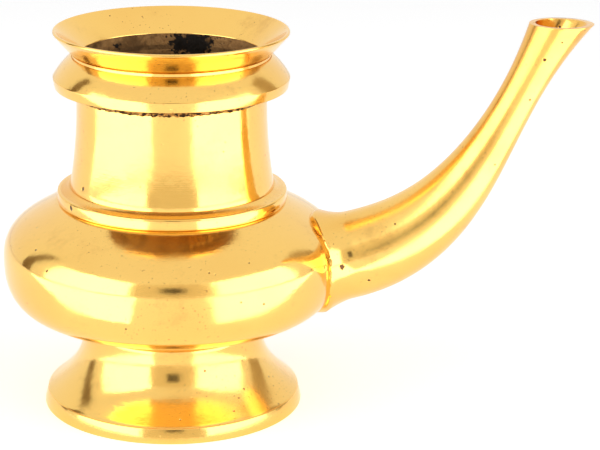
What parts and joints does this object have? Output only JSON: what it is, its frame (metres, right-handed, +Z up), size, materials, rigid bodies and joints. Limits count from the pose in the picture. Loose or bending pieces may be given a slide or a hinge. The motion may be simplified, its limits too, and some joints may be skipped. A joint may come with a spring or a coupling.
{
  "type": "spouted water pot",
  "caption": "Round-bellied brass water pot on a hollow flared foot, with a wide collared mouth and a curved, upward-pointing pouring spout.",
  "frame": {"origin": "on the table, under the middle of the overall length from the belly's back to the spout's mouth", "axes": "+Z up along the pot's axis, +X towards the spout, +Y to complete a right-handed frame"},
  "size_m": [0.154, 0.09, 0.1064],
  "materials": {
    "polished_brass": "polished, with fine turning lines and small casting pits",
    "dark_braze": "satin, orange, lightly tarnished",
    "rough_braze": "rough and granular, darkened by flux"
  },
  "bodies": {
    "root": {"mouth_lip": "polished_brass", "mouth_collar": "polished_brass", "collar_braze": "rough_braze", "neck_tube": "polished_brass", "neck_braze": "dark_braze", "shoulder_ring": "polished_brass", "upper_belly": "polished_brass", "belly_seam": "polished_brass", "lower_belly": "polished_brass", "waist_braze": "dark_braze", "foot_cone": "polished_brass", "foot_band": "polished_brass", "spout_braze": "polished_brass", "spout_tube": "polished_brass"}
  },
  "joints": []
}
